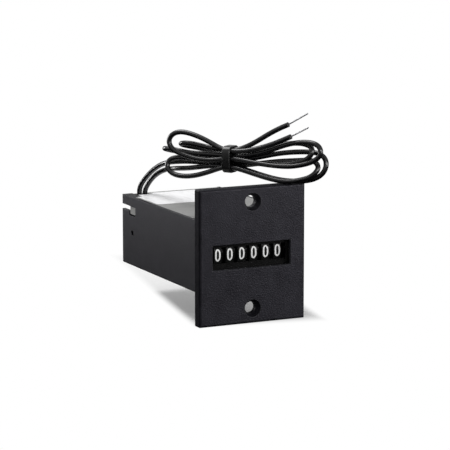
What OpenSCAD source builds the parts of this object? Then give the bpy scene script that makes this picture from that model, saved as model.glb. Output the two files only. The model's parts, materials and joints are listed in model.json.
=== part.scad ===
// Six-figure impulse counter for panel mounting, its two leads tied in a hank.
// The origin is the centre of the front plate's rear face, which seats on the panel.
// X runs right as seen from the front, Y runs back through the panel, Z runs up.

/* [Front plate] */
// Thickness of the front plate
plate_t = 4; // [3.6:0.1:5]
// Overhang of the plate past the housing on either side
plate_lip = 0.6; // [0.4:0.1:9]
// Radius of the plate's four corners
plate_corner_r = 0.5; // [0.2:0.1:4]
// Radius round the plate's front edge
plate_edge_r = 0.9; // [0.4:0.1:1.8]
// Diameter of the two screw holes
screw_hole_d = 4.3; // [3:0.1:5]
// Widening of each screw hole at the plate's front face
countersink_w = 2.3; // [1:0.1:4]
// Depth of that countersink
countersink_depth = 2; // [0.8:0.1:3]
// Width of plate between each screw hole and the housing
screw_land = 4.1; // [0.5:0.1:8]
// Distance from each screw hole's middle to the plate's end
screw_edge = 5.5; // [4:0.1:15]

/* [Window] */
// Sideways offset of the row of figures from the plate's middle
figure_x = -0.35; // [-0.8:0.05:0.8]
// Width of window beside the row of wheels on either side
window_margin = 1.1; // [0.6:0.1:2]
// Height of the window
window_h = 8.9; // [7:0.1:11]
// Bevel round the window's front edge
window_bevel = 0.3; // [0.1:0.05:0.6]
// Depth of the lens behind the plate's front face
window_depth = 1.4; // [0.8:0.1:1.5]
// Thickness of the lens
lens_t = 1; // [0.6:0.1:1.1]
// Width of lens hidden behind the plate all round
lens_lap = 0.9; // [0.5:0.1:1.2]
// Thickness of the mask behind the lens
mask_t = 0.5; // [0.3:0.1:0.6]
// Width of the mask's slot beside the row of wheels on either side
mask_margin = 0.35; // [0:0.05:0.6]
// Height of the slot in the mask
mask_slot_h = 5.8; // [4.6:0.1:6.5]

/* [Housing] */
// Wall thickness of the housing
wall_t = 1.2; // [0.8:0.1:2]
// Room between the chassis and each side wall
chassis_gap = 1.8; // [1.7:0.1:4]
// Room above and below the number wheels
wheel_room = 3.05; // [2.6:0.05:5]
// Room above the coil
coil_room = 1; // [0.5:0.1:3]
// Room behind the chassis for the leads
lead_room = 4; // [4:0.1:12]
// Height of the housing's middle above the plate's middle
axis_z = 0.4; // [0:0.1:1]
// Radius along the housing's lower edges
body_edge_r = 0.6; // [0.2:0.1:1]
// Length of the collar that the plate fits into the housing
collar_l = 4; // [2:0.5:4]
// Thickness of the collar
collar_t = 1.2; // [0.8:0.1:1.2]

/* [Latch windows] */
// Length of the slot that runs in from each side wall's rear end
ear_slot_l = 6.5; // [4:0.1:7.5]
// Height of that slot
ear_slot_h = 1.9; // [1:0.1:2.2]
// Distance of the slot's upper edge below the housing's top
ear_slot_drop = 3.6; // [3:0.1:5]
// Length of the latch window at the slot's inner end
latch_l = 5.6; // [3.5:0.1:6]
// Height of the latch window
latch_h = 3.6; // [3:0.1:5]
// Radius of the latch window's lower corners
latch_r = 0.6; // [0.2:0.1:1]
// Diameter of the round locating hole in each side wall
locating_hole_d = 2; // [1:0.1:2.5]
// Distance of the locating hole from the housing's rear end
locating_hole_inset = 9.1; // [6:0.1:14]
// Distance of the locating hole below the housing's middle
locating_hole_drop = 0.5; // [0:0.1:3]
// Width of the ledge at the left rear corner
ledge_w = 4; // [3:0.1:4]

/* [Top cover] */
// Thickness of the cover's top and rear walls
cover_t = 1.2; // [0.8:0.1:1.3]
// Distance of the rear wall's outer face from the housing's rear end
rear_inset = 0.8; // [0:0.1:1]
// Width of the finger groove across the cover
groove_w = 0.5; // [0.3:0.1:1]
// Depth of the finger groove
groove_depth = 0.35; // [0.1:0.05:0.5]
// Distance of the groove behind the plate
groove_y = 8.5; // [6:0.5:12]
// Width of the gap at the cover's front left corner
corner_gap_w = 1.1; // [0.5:0.1:2]
// Length of the gap at the cover's front left corner
corner_gap_l = 5.5; // [3:0.5:7]
// Width of the lead notch in the rear wall
notch_w = 8.7; // [8:0.1:9]
// Depth of the lead notch below the housing's top
notch_h = 8.1; // [7:0.1:10]

/* [Label] */
// Thickness of the label
label_t = 0.1; // [0.05:0.05:0.2]
// Distance of the label's front edge behind the plate
label_y = 37.6; // [30:0.1:45]
// Radius of the label's corners
label_r = 2; // [1:0.5:3]
// Margin between the label and the edges of the cover
label_margin = 0.8; // [0.3:0.1:2]

/* [Number wheels] */
// Number of wheels
wheel_count = 6; // [6:1:6]
// Distance between neighbouring wheels
wheel_pitch = 4.8; // [4.7:0.05:4.85]
// Radius of the numbered rim
wheel_r = 9; // [8.6:0.1:9.2]
// Width of the numbered rim
rim_w = 3; // [2.8:0.1:3]
// Thickness of the rim
rim_t = 1.1; // [0.8:0.1:1.1]
// Thickness of each wheel's web
web_t = 0.8; // [0.5:0.1:1]
// Radius of each wheel's hub
hub_r = 2.4; // [2:0.1:3]
// Distance of the rims behind the plate's front face
rim_depth = 3.34; // [3.2:0.02:3.5]
// Radius of the wheel shaft
shaft_r = 1.2; // [1:0.05:1.4]
// Height of the two carry teeth above the ring
carry_tooth_h = 0.4; // [0.2:0.05:0.4]
// Depth of the units wheel's ratchet inside the rim
ratchet_inset = 1.1; // [1:0.1:1.5]
// Depth of the ratchet's teeth
ratchet_depth = 1.3; // [0.8:0.1:1.6]

/* [Transfer pinions] */
// Room between the wheels' rims and the pinions' hubs
pinion_room = 0.4; // [0.3:0.1:1]
// Teeth on each number wheel
gear_teeth = 20; // [20:1:20]
// Teeth on each transfer pinion
pinion_teeth = 8; // [8:2:8]
// Pressure angle of the teeth
pressure_angle = 20; // [18:1:22]
// Width of the number wheels' teeth
gear_w = 1; // [0.8:0.05:1]
// Width of the carry ring beside each wheel
ring_w = 0.55; // [0.4:0.05:0.55]
// Amount by which each tooth is thinned for backlash
tooth_thinning = 0.12; // [0.08:0.01:0.16]
// Radius of the pinion shaft
pinion_shaft_r = 0.6; // [0.5:0.05:0.7]
// Radius of the pinions' hubs
pinion_hub_r = 1.1; // [0.9:0.05:1.2]

/* [Chassis] */
// Thickness of the chassis sheet
chassis_t = 1; // [0.6:0.1:1.1]
// Room for spacers beside the row of wheels on either side
side_room = 2.2; // [1.6:0.1:4]
// Distance of the chassis behind the plate
chassis_y = 4.3; // [4.2:0.1:5]
// Length of the chassis' base behind the yoke
chassis_margin = 0.7; // [0.3:0.1:3]
// Length of the raised sides behind the pinion shaft
cheek_margin = 5.46; // [3:0.02:6]
// Height of the raised sides above the shafts
cheek_h = 9.5; // [4:0.1:10]
// Height of the low sides behind them
low_side_h = 6.6; // [3:0.1:8]

/* [Magnet] */
// Radius of the iron core
core_r = 3.5; // [3:0.1:4]
// Radius of the core's pole head
pole_r = 4.2; // [4:0.1:5]
// Thickness of the pole head
pole_t = 1; // [0.6:0.1:1.2]
// Length of the bobbin
bobbin_l = 23.6; // [20:0.1:24]
// Radius of the bobbin's flanges
flange_r = 9.6; // [9:0.1:9.8]
// Gap between the flanges and the yoke below them
coil_gap = 0.45; // [0.3:0.05:1]
// Thickness of the bobbin's flanges
flange_t = 1.2; // [0.8:0.1:2]
// Wall thickness of the bobbin's barrel
barrel_t = 1; // [0.6:0.1:1.4]
// Distance of the winding's surface inside the flanges' edge
winding_inset = 0.8; // [0.4:0.1:2]
// Width of the yoke
yoke_w = 16.4; // [15:0.1:18]
// Thickness of the yoke
yoke_t = 2; // [1.6:0.1:2.2]

/* [Armature] */
// Thickness of the armature plate
armature_t = 1.8; // [1.2:0.1:2]
// Width of the armature plate
armature_w = 14; // [12:0.1:14]
// Distance of the armature behind the pinion shaft
armature_gap = 10.86; // [10.8:0.02:14]
// Air gap between the armature and the pole at rest
air_gap = 1.25; // [1.2:0.05:1.5]
// Radius of the armature's pin
armature_pin_r = 0.75; // [0.6:0.05:0.9]
// Thickness of the yoke's ears round the pin
ear_t = 1; // [0.8:0.1:1.2]
// Radius of the armature's hinge barrel
hinge_r = 1.5; // [1.3:0.1:1.6]
// Thickness of the pallet arm
pallet_t = 0.8; // [0.6:0.1:0.9]
// Height of the pallet arm
pallet_h = 1.4; // [1:0.1:1.5]
// Width of each pallet
pallet_w = 1.2; // [0.8:0.1:1.5]
// Wire diameter of the return spring
spring_wire_d = 0.3; // [0.2:0.05:0.35]
// Mean radius of the return spring
spring_r = 1.2; // [1:0.05:1.3]

/* [Leads] */
// Outside diameter of each lead
lead_d = 1.9; // [1.7:0.05:2]
// Distance between the leads where they leave the counter
lead_pitch = 2.2; // [2.15:0.05:2.4]
// Diameter of the bare conductors
conductor_d = 0.45; // [0.3:0.05:0.6]
// Thickness of the tied hank
hank_t = 5.8; // [5:0.1:6.2]
// Radius of the hank's rear end
hank_rear_r = 9; // [8:0.1:9.5]
// Radius of the hank's front end
hank_front_r = 8.2; // [7:0.1:8.2]
// Height of the hank where it is tied
hank_waist = 7.9; // [6:0.1:8.2]
// Width of the cable tie's strap
tie_w = 3.8; // [2.5:0.1:4]
// Thickness of the cable tie's strap
tie_t = 0.9; // [0.8:0.1:1.2]

/* [Hidden] */
$fn = 48;

// Overrun of cuts past the surfaces that they open
cut = 1;
// Gap between pieces that are fitted or snapped together
fit = 0.1;
// End gap between pieces that turn or swing beside each other
run = 0.25;
// Radial play of a shaft in its hole
play = 0.05;
// Radial play of a fixed pin or screw in its hole
snug = 0.02;

black = [0.13, 0.13, 0.14];
grey = [0.55, 0.55, 0.54];
steel = [0.66, 0.66, 0.68];

// Width of the row of wheels, and of what is made to hold it
row_w = wheel_count * wheel_pitch;
window_w = row_w + 2 * window_margin;
mask_slot_w = row_w + 2 * mask_margin;
chassis_w = row_w + 2 * (side_room + chassis_t);
inner_w = chassis_w + 2 * chassis_gap;
body_w = inner_w + 2 * wall_t;
cover_w = inner_w - 2 * fit;
plate_w = body_w + 2 * plate_lip;

// Heights
coil_h = chassis_t + yoke_t + coil_gap + 2 * flange_r + coil_room;
inner_h = max(2 * (wheel_r + wheel_room), coil_h);
body_h = inner_h + 2 * wall_t;
body_top = axis_z + body_h / 2;
body_bottom = axis_z - body_h / 2;
floor_z = body_bottom + wall_t;
cover_z = body_top - cover_t;
screw_spacing = body_h + screw_hole_d + 2 * screw_land;
plate_h = screw_spacing + 2 * screw_edge;

// Number wheels
wheel_y = rim_depth - plate_t + wheel_r;
wheel_bore_r = shaft_r + play;
ratchet_r = wheel_r - rim_t - ratchet_inset;
hub_front = -rim_w / 2 - ring_w;
hub_back = rim_w / 2 + gear_w;
digits = 10;
carry_angle = 180 / digits;
// Shares of the ratchet's pitch where a tooth's land starts and ends, then the floor beside it
ratchet_shares = [0, 0.1, 0.5, 0.6];
function wheel_x(k) = figure_x + ((wheel_count + 1) / 2 - k) * wheel_pitch;

// Teeth, and their pitch diameter per tooth
centre_distance = wheel_r + pinion_room + pinion_hub_r;
tooth_size = 2 * centre_distance / (gear_teeth + pinion_teeth);
gear_pitch_r = gear_teeth * tooth_size / 2;
pinion_pitch_r = pinion_teeth * tooth_size / 2;
gear_base_r = gear_pitch_r * cos(pressure_angle);
pinion_base_r = pinion_pitch_r * cos(pressure_angle);
gear_tip_r = sqrt(pow(gear_base_r, 2) + pow(centre_distance * sin(pressure_angle), 2)) - play / 5;
pinion_tip_r = pinion_pitch_r + tooth_size;
// Gap between the tips of one gear's teeth and the roots of the other's
root_gap = 0.3;
gear_root_r = centre_distance - pinion_tip_r - root_gap;
pinion_root_r = centre_distance - gear_tip_r - root_gap;
flank_steps = 3;
// The carry ring stops short of the pinions' long teeth
ring_r = centre_distance - pinion_tip_r - carry_tooth_h - run;
ring_inner_r = ring_r - carry_tooth_h;
pinion_y = wheel_y + centre_distance;
pinion_bore_r = pinion_shaft_r + play;
pinion_gap = wheel_pitch - rim_w;
pinion_w = pinion_gap - 2 * fit;
function pinion_x(k) = wheel_x(k) - rim_w / 2 - fit - pinion_w;

// Armature and magnet
armature_front = pinion_y + armature_gap;
pole_y = armature_front + armature_t + air_gap;
bobbin_y = pole_y + pole_t + 2 * fit;
bobbin_rear = bobbin_y + bobbin_l;
yoke_rear = bobbin_rear + run;
coil_z = floor_z + chassis_t + yoke_t + coil_gap + flange_r;
yoke_top = coil_z + core_r + 2 * yoke_t;
// Radius of the spigot that holds the core in the yoke
spigot_r = 2;

// Chassis
cheek_x = chassis_w / 2 - chassis_t;
cheek_rear = pinion_y + cheek_margin;
chassis_rear = yoke_rear + yoke_t + chassis_margin;
deck_z = floor_z + chassis_t;
// Thickness of the shafts' clips, and the width of their rims
clip_t = 0.4;
clip_rim = 1.2;
shaft_end = chassis_w / 2 + clip_t + run;

// Length of the housing
rear_y = chassis_rear + lead_room;
body_l = rear_y + cover_t + rear_inset;
slot_top = body_top - ear_slot_drop;
latch_y = body_l - ear_slot_l - latch_l;
latch_top = slot_top - fit;
// The ledge at the left rear corner reaches forward past half of the latch window
ledge_l = ear_slot_l + latch_l / 2;

// Hinge and pallets
pin_y = armature_front + armature_t / 2;
pin_z = deck_z + hinge_r + 2 * run;
yoke_front = pin_y + hinge_r + 2 * run;
pallet_x = wheel_x(1) + rim_w / 2 + run;
pallet_top = axis_z + wheel_r + fit * 2;
pallet_z = pallet_top - pallet_h;
// Reach of the two pallets before and behind the wheels' shaft
pallet_reach = 3.8;

// Screws up through the housing's floor
screw_r = 1.25;
screw_head_r = 2.3;
// Distance of the front screw behind the pole face, and between the two
screw_inset = 5;
screw_pitch = 15;
screw_ys = [pole_y + screw_inset, pole_y + screw_inset + screw_pitch];

// Block on the bobbin's rear flange, its thickness and its reach past the flange
block_t = 2;
block_reach = 2.4;
block_x = -flange_r - block_reach;
// Terminal pins through that block, their reach on either side of its face, and their places
terminal_r = 0.4;
terminal_reach = 2;
terminal_rise = 1.1;
terminal_pitch = 4;
terminal_x = block_x - terminal_reach;
terminal_y = bobbin_rear - block_t / 2;
terminal_z = [coil_z + terminal_rise + terminal_pitch, coil_z + terminal_rise];

// Strain relief, its lip, and its walls to the right and left of the leads
relief_lip = 0.8;
relief_wall = 0.93;
relief_side = 0.65;
relief_top = body_top - run;
relief_bottom = body_top - notch_h + fit;
relief_right = notch_w - cover_w / 2;

// Leads
lead_r = lead_d / 2;
lead_sides = 8;
lead_y = rear_y - lead_r - play;
lead_right = relief_right - fit - relief_wall - lead_r - snug;
lead_x = [lead_right - lead_pitch, lead_right];
relief_left = lead_x[0] - lead_r - relief_side;
exit_1 = [lead_x[0], lead_y, relief_top];
exit_2 = [lead_x[1], lead_y, relief_top];

// Points of the leads inside the counter, measured from where they leave it
inner_path_1 = [[-1.1, -6.6, -7.3], [-1.9, -5.3, -8.4], [-1.7, -3.5, -9.8], [-0.9, -1.7, -10.6],
                [-0.2, -0.3, -10], [0, 0, -8.6]];
inner_path_2 = [[-3.1, -6.3, -11.8], [-3.3, -4.7, -13], [-2.3, -2.9, -13.8], [-0.9, -1.3, -13.2],
                [-0.1, -0.2, -11.2], [0, 0, -8.6]];

// Routes of the leads inside, from the coil's terminals to the strain relief
inner_route_1 = [[terminal_x, terminal_y, terminal_z[0]], for (p = inner_path_1) exit_1 + p, exit_1];
inner_route_2 = [[terminal_x, terminal_y, terminal_z[1]], for (p = inner_path_2) exit_2 + p, exit_2];

// Routes of the leads outside, from the strain relief to the hank and from the hank to their ends
rise_route_1 = [exit_1, [-14.9, 63.5, 15], [-14.8, 62.9, 17], [-14.1, 60.2, 19.8],
                [-13.6, 56, 23], [-13.2, 51, 25.6], [-13, 45.5, 27.7], [-12.8, 40.5, 28.9]];
rise_route_2 = [exit_2, [-12.6, 63.4, 15], [-12.1, 62.6, 17], [-11.3, 59.5, 20.1],
                [-10.9, 55, 22.7], [-10.7, 49.5, 24.6], [-10.6, 44, 25.8], [-10.7, 38.5, 26.7]];
end_route_1 = [[4.8, 13.6, 36.5], [7.9, 9.1, 39], [12, 3.3, 43.8], [15.4, -1.6, 46.3]];
end_route_2 = [[4.3, 10.8, 35.6], [9.5, 3.4, 38.1], [12.3, -0.7, 40.2], [15, -4.4, 42.3]];
bare_route_1 = [[15.4, -1.6, 46.3], [20, -8, 50.8]];
bare_route_2 = [[15, -4.4, 42.3], [19.1, -10.2, 46]];
// Middle of the hank's rear round end, of its front one, and of the tie
hank_rear = [-9.8, 32.6, 32.9];
hank_front = [18.9, -8.3, 33.3];
tie_at = [1.2, 17, 32.3];

module along_x() {
    rotate([90, 0, 90]) children();
}

module along_y() {
    rotate([-90, 0, 0]) children();
}

module box_from(low, high) {
    translate(low) cube(high - low);
}

module both_sides() {
    children();
    mirror([1, 0, 0]) children();
}

module rounded_rectangle(w, h, r) {
    square([w - 2 * r, h], center = true);
    square([w, h - 2 * r], center = true);
    for (x = [-1, 1], y = [-1, 1])
        translate([x * (w / 2 - r), y * (h / 2 - r)]) circle(r);
}

// Section of a slab, its two upper corners rounded
module slab_profile(w, t, edge_r) {
    translate([-w / 2, 0]) square([w, t - edge_r]);
    translate([edge_r - w / 2, 0]) square([w - 2 * edge_r, t]);
    for (x = [-1, 1]) translate([x * (w / 2 - edge_r), t - edge_r]) circle(edge_r);
}

// Slab with rounded corners, its upper edges rounded and mitred at the corners
module rounded_slab(w, h, t, corner_r, edge_r) {
    intersection() {
        rotate([90, 0, 0]) linear_extrude(h + 2 * cut, center = true) slab_profile(w, t, edge_r);
        rotate([90, 0, 90]) linear_extrude(w + 2 * cut, center = true) slab_profile(h, t, edge_r);
        translate([0, 0, -cut]) linear_extrude(t + 2 * cut) rounded_rectangle(w, h, corner_r);
    }
}

// Outline of an opening that widens at 45 degrees above the height t - bevel
module flared_profile(w, t, bevel) {
    flare = bevel + cut;
    polygon([[-w / 2, -cut], [w / 2, -cut], [w / 2, t - bevel], [w / 2 + flare, t + cut],
             [-w / 2 - flare, t + cut], [-w / 2, t - bevel]]);
}

// Straight-sided opening with a bevelled mouth at its upper end
module bevelled_opening(w, h, t, bevel) {
    reach = [w, h] + 4 * (bevel + cut) * [1, 1];
    intersection() {
        rotate([90, 0, 0]) linear_extrude(reach[1], center = true) flared_profile(w, t, bevel);
        rotate([90, 0, 90]) linear_extrude(reach[0], center = true) flared_profile(h, t, bevel);
    }
}

module front_plate() {
    pocket = [window_w + 2 * (lens_lap + fit), plate_t - window_depth, window_h + 2 * (lens_lap + fit)];
    color(black) difference() {
        union() {
            rotate([90, 0, 0]) rounded_slab(plate_w, plate_h, plate_t, plate_corner_r, plate_edge_r);
            collar();
        }
        for (z = [-1, 1]) translate([0, -plate_t, z * screw_spacing / 2]) along_y() screw_hole();
        translate([figure_x, 0, 0]) rotate([90, 0, 0])
            bevelled_opening(window_w, window_h, plate_t, window_bevel);
        translate([figure_x - pocket[0] / 2, -pocket[1], -pocket[2] / 2])
            cube(pocket + [0, cut, 0]);
    }
}

// Countersunk hole through the plate, from its front face back
module screw_hole() {
    rear_r = screw_hole_d / 2;
    slope = countersink_w / 2 / countersink_depth;
    translate([0, 0, -cut]) cylinder(r = rear_r, h = plate_t + 2 * cut);
    translate([0, 0, -cut]) cylinder(r1 = rear_r + (countersink_depth + cut) * slope, r2 = rear_r,
                                     h = countersink_depth + cut);
}

module collar() {
    low = [-inner_w / 2 + fit, 0, floor_z + fit];
    high = [inner_w / 2 - fit, collar_l, cover_z - fit];
    difference() {
        box_from(low, high);
        box_from(low + [collar_t, -cut, collar_t], high + [-collar_t, cut, -collar_t]);
    }
}

module window_lens() {
    color([0.8, 0.85, 0.9, 0.35]) translate([figure_x, window_depth - plate_t + lens_t / 2, 0])
        cube([window_w + 2 * lens_lap, lens_t, window_h + 2 * lens_lap], center = true);
}

module digit_mask() {
    color([0.05, 0.05, 0.05]) translate([figure_x, window_depth - plate_t + lens_t + mask_t / 2, 0])
        difference() {
            cube([window_w + 2 * lens_lap, mask_t, window_h + 2 * lens_lap], center = true);
            translate([0, 0, axis_z]) cube([mask_slot_w, mask_t + 2 * cut, mask_slot_h], center = true);
        }
}

// Section of the housing across its length, open at the top
module housing_profile() {
    difference() {
        union() {
            translate([-body_w / 2 + body_edge_r, body_bottom])
                square([body_w - 2 * body_edge_r, body_h]);
            translate([-body_w / 2, body_bottom + body_edge_r])
                square([body_w, body_h - body_edge_r]);
            for (x = [-1, 1]) translate([x * (body_w / 2 - body_edge_r), body_bottom + body_edge_r])
                circle(body_edge_r);
        }
        translate([-inner_w / 2, floor_z]) square([inner_w, body_h]);
    }
}

// Slot from the rear end, latch window and locating hole, cut through one side wall
module side_openings() {
    low = latch_top - latch_h;
    translate([-body_w / 2 - cut, 0, 0]) {
        box_from([0, latch_y + latch_l - fit, slot_top - ear_slot_h],
                 [wall_t + 2 * cut, body_l + cut, slot_top]);
        box_from([0, latch_y, low + latch_r], [wall_t + 2 * cut, latch_y + latch_l, latch_top]);
        box_from([0, latch_y + latch_r, low], [wall_t + 2 * cut, latch_y + latch_l - latch_r, latch_top]);
        for (y = [latch_y + latch_r, latch_y + latch_l - latch_r])
            translate([0, y, low + latch_r]) rotate([0, 90, 0]) cylinder(r = latch_r, h = wall_t + 2 * cut);
        translate([0, body_l - locating_hole_inset, axis_z - locating_hole_drop]) rotate([0, 90, 0])
            cylinder(d = locating_hole_d, h = wall_t + 2 * cut);
    }
}

module housing() {
    color(black) difference() {
        union() {
            rotate([90, 0, 0]) translate([0, 0, -body_l]) linear_extrude(body_l) housing_profile();
            box_from([-body_w / 2, body_l - ledge_l, cover_z],
                     [ledge_w - body_w / 2, body_l, body_top]);
        }
        both_sides() side_openings();
        for (y = screw_ys) translate([0, y, body_bottom]) {
            translate([0, 0, -cut]) cylinder(r = screw_r + fit, h = wall_t + 2 * cut);
            screw_head(fit);
        }
    }
}

// Countersunk head, its flat side down on the housing's underside
module screw_head(gap) {
    cylinder(r1 = screw_head_r + gap, r2 = screw_r + gap, h = screw_head_r - screw_r);
}

module body_screws() {
    color(steel) for (y = screw_ys) translate([0, y, body_bottom]) difference() {
        union() {
            screw_head(0);
            cylinder(r = screw_r, h = wall_t + chassis_t + yoke_t - 4 * fit);
        }
        translate([-screw_head_r, -screw_r / 5, -cut])
            cube([2 * screw_head_r, screw_r * 2 / 5, cut + screw_r / 3]);
    }
}

module cover_hook() {
    hook_y = latch_y + 3 * fit;
    hook_end = latch_y + latch_l - 3 * fit;
    foot = latch_top - latch_h + 3 * fit;
    box_from([-cover_w / 2, hook_y - latch_l, foot], [cover_t - cover_w / 2, hook_end, cover_z]);
    translate([0, hook_end, 0]) rotate([90, 0, 0]) linear_extrude(hook_end - hook_y)
        polygon([[-cover_w / 2, foot], [-cover_w / 2, latch_top - 2 * fit],
                 [3 * fit - body_w / 2, latch_top - 2 * fit], [3 * fit - body_w / 2, foot + 3 * fit]]);
}

module top_cover() {
    front = 3 * fit;
    rear = rear_y + cover_t;
    ledge_x = ledge_w + 2 * fit - body_w / 2;
    color(grey) difference() {
        union() {
            box_from([-cover_w / 2, front, cover_z], [cover_w / 2, rear, body_top]);
            box_from([-cover_w / 2, rear_y, floor_z + fit], [cover_w / 2, rear, body_top]);
            both_sides() cover_hook();
        }
        box_from([-body_w, rear_y - cut / 2, body_top - notch_h], [relief_right, body_l + cut, cover_z]);
        box_from([relief_left - fit, lead_y - lead_d, body_top - notch_h],
                 [relief_right, body_l + cut, body_top + cut]);
        box_from([-body_w, body_l - ledge_l - 2 * fit, cover_z - fit],
                 [ledge_x, body_l + cut, body_top + cut]);
        box_from([-body_w, groove_y, body_top - groove_depth],
                 [body_w, groove_y + groove_w, body_top + cut]);
        box_from([-body_w, 0, cover_z - cut],
                 [corner_gap_w - cover_w / 2, corner_gap_l, body_top + cut]);
    }
}

module label() {
    left = label_margin - cover_w / 2;
    right = cover_w / 2 - label_margin / 2;
    rear = rear_y + cover_t - 3 * label_margin;
    color([0.9, 0.9, 0.91]) translate([0, 0, body_top]) difference() {
        linear_extrude(label_t) union() {
            translate([left + label_r, label_y + label_r]) circle(label_r);
            translate([right - label_r, label_y + label_r]) circle(label_r);
            translate([left + label_r, label_y]) square([right - left - 2 * label_r, rear - label_y]);
            translate([left, label_y + label_r]) square([right - left, rear - label_y - label_r]);
        }
        box_from([-body_w, body_l - ledge_l - label_margin / 2, -cut],
                 [ledge_w + 4 * fit - body_w / 2, body_l, cut]);
        box_from([-body_w, lead_y - lead_d - label_margin / 2, -cut],
                 [relief_right + label_margin / 2, body_l, cut]);
    }
}

module strain_relief() {
    color(black) difference() {
        union() {
            box_from([relief_left, lead_y - lead_d + fit, relief_bottom],
                     [relief_right - fit, rear_y + cover_t + relief_lip, relief_top]);
            box_from([relief_left, lead_y - lead_d + fit, relief_bottom - relief_lip],
                     [relief_right + relief_lip, rear_y - play, cover_z - 2 * fit]);
            box_from([relief_left, rear_y + cover_t + play, relief_bottom - relief_lip],
                     [relief_right + relief_lip, rear_y + cover_t + relief_lip, relief_top]);
        }
        for (x = lead_x) translate([x, lead_y, relief_bottom - relief_lip - cut])
            cylinder(r = lead_r + snug, h = notch_h + relief_lip + 2 * cut);
    }
}

// One side of the chassis, seen from the right
module cheek_profile() {
    top = axis_z + cheek_h;
    chamfer = 2 * chassis_t;
    low = floor_z + low_side_h;
    difference() {
        polygon([[chassis_y, floor_z], [chassis_y, top - chamfer], [chassis_y + chamfer, top],
                 [cheek_rear - chamfer, top], [cheek_rear, top - chamfer],
                 [cheek_rear, low + chamfer], [cheek_rear + chamfer, low],
                 [chassis_rear, low], [chassis_rear, floor_z]]);
        translate([wheel_y, axis_z]) circle(wheel_bore_r);
        translate([pinion_y, axis_z]) circle(pinion_bore_r);
    }
}

module chassis() {
    color(steel) difference() {
        union() {
            both_sides() translate([cheek_x, 0, 0]) along_x() linear_extrude(chassis_t) cheek_profile();
            box_from([-chassis_w / 2, chassis_y, floor_z], [chassis_w / 2, chassis_rear, deck_z]);
        }
        for (y = screw_ys) translate([0, y, floor_z - cut])
            cylinder(r = screw_r + fit, h = chassis_t + 2 * cut);
    }
}

module shaft_along_x(r, x0, x1) {
    translate([x0, 0, 0]) rotate([0, 90, 0]) cylinder(r = r, h = x1 - x0);
}

module sleeve(r, bore_r, x0, x1) {
    difference() {
        shaft_along_x(r, x0, x1);
        shaft_along_x(bore_r, x0 - cut, x1 + cut);
    }
}

module wheel_shaft() {
    color(steel) translate([0, wheel_y, axis_z]) shaft_along_x(shaft_r, -shaft_end, shaft_end);
}

module wheel_spacer_left() {
    color(black) translate([0, wheel_y, axis_z])
        sleeve(hub_r, wheel_bore_r, play - cheek_x, wheel_x(wheel_count) + hub_front - run);
}

module wheel_spacer_right() {
    color(black) translate([0, wheel_y, axis_z])
        sleeve(hub_r, wheel_bore_r, wheel_x(1) + hub_back + run, cheek_x - play);
}

module pinion_shaft() {
    color(steel) translate([0, pinion_y, axis_z]) shaft_along_x(pinion_shaft_r, -shaft_end, shaft_end);
}

module pinion_spacer_left() {
    color(black) translate([0, pinion_y, axis_z])
        sleeve(pinion_hub_r, pinion_bore_r, play - cheek_x, pinion_x(wheel_count - 1) - run);
}

module pinion_spacer_right() {
    color(black) translate([0, pinion_y, axis_z])
        sleeve(pinion_hub_r, pinion_bore_r, pinion_x(1) + wheel_pitch, cheek_x - play);
}

module shaft_clips() {
    color(steel) both_sides() {
        translate([0, wheel_y, axis_z])
            sleeve(shaft_r + clip_rim, shaft_r + snug, chassis_w / 2 + play, chassis_w / 2 + clip_t);
        translate([0, pinion_y, axis_z]) sleeve(pinion_shaft_r + clip_rim, pinion_shaft_r + snug,
                                                chassis_w / 2 + play, chassis_w / 2 + clip_t);
    }
}

// Involute teeth. The angle is in degrees, measured from the middle of a tooth.
function involute(base_r, r) = let(a = acos(base_r / r)) tan(a) * 180 / PI - a;
function flank_angle(pitch_r, base_r, teeth, r) =
    90 / teeth - tooth_thinning / 2 / pitch_r * 180 / PI + involute(base_r, pitch_r)
    - involute(base_r, max(r, base_r));
function polar(r, a) = [r * cos(a), r * sin(a)];
function tooth_side(pitch_r, base_r, root_r, tip_r, teeth) = [
    for (i = [-1:flank_steps]) let(r = i < 0 ? root_r : base_r + (tip_r - base_r) * i / flank_steps)
        [r, flank_angle(pitch_r, base_r, teeth, r)]];
function tooth(side, a) = concat(
    [for (p = side) polar(p[0], a - p[1])],
    [for (i = [len(side) - 1:-1:0]) polar(side[i][0], a + side[i][1])]);

function tooth_ring(side, teeth, every = 1, turn = 0) = [
    for (i = [0:teeth - 1]) let(a = turn + i * 360 / teeth)
        each i % every == 0 ? tooth(side, a) : [polar(side[0][0], a)]];

gear_side = tooth_side(gear_pitch_r, gear_base_r, gear_root_r, gear_tip_r, gear_teeth);
pinion_side = tooth_side(pinion_pitch_r, pinion_base_r, pinion_root_r, pinion_tip_r, pinion_teeth);

module ratchet_profile() {
    pitch = 360 / digits;
    floor_r = ratchet_r - ratchet_depth;
    corner_rs = [ratchet_r, ratchet_r, floor_r, floor_r];
    polygon([for (i = [0:digits - 1], c = [0:3])
        polar(corner_rs[c], (i + ratchet_shares[c]) * pitch)]);
}

// Ring on the wheel's left face, with two teeth either side of a gap
module carry_ring() {
    length = rim_w - web_t + ring_w;
    tooth_w = 2 * carry_tooth_h;
    difference() {
        union() {
            cylinder(r = ring_r, h = length);
            for (side = [-1, 1]) rotate(carry_angle + side * carry_angle / 2)
                translate([ring_inner_r, -tooth_w / 2, 0])
                    cube([2 * carry_tooth_h, tooth_w, ring_w]);
        }
        translate([0, 0, -cut]) cylinder(r = ring_inner_r, h = length + 2 * cut);
        rotate(carry_angle) translate([ring_inner_r + carry_tooth_h / 2, -tooth_w / 2, -cut])
            cube([ring_r, tooth_w, ring_w + cut]);
    }
}

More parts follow.
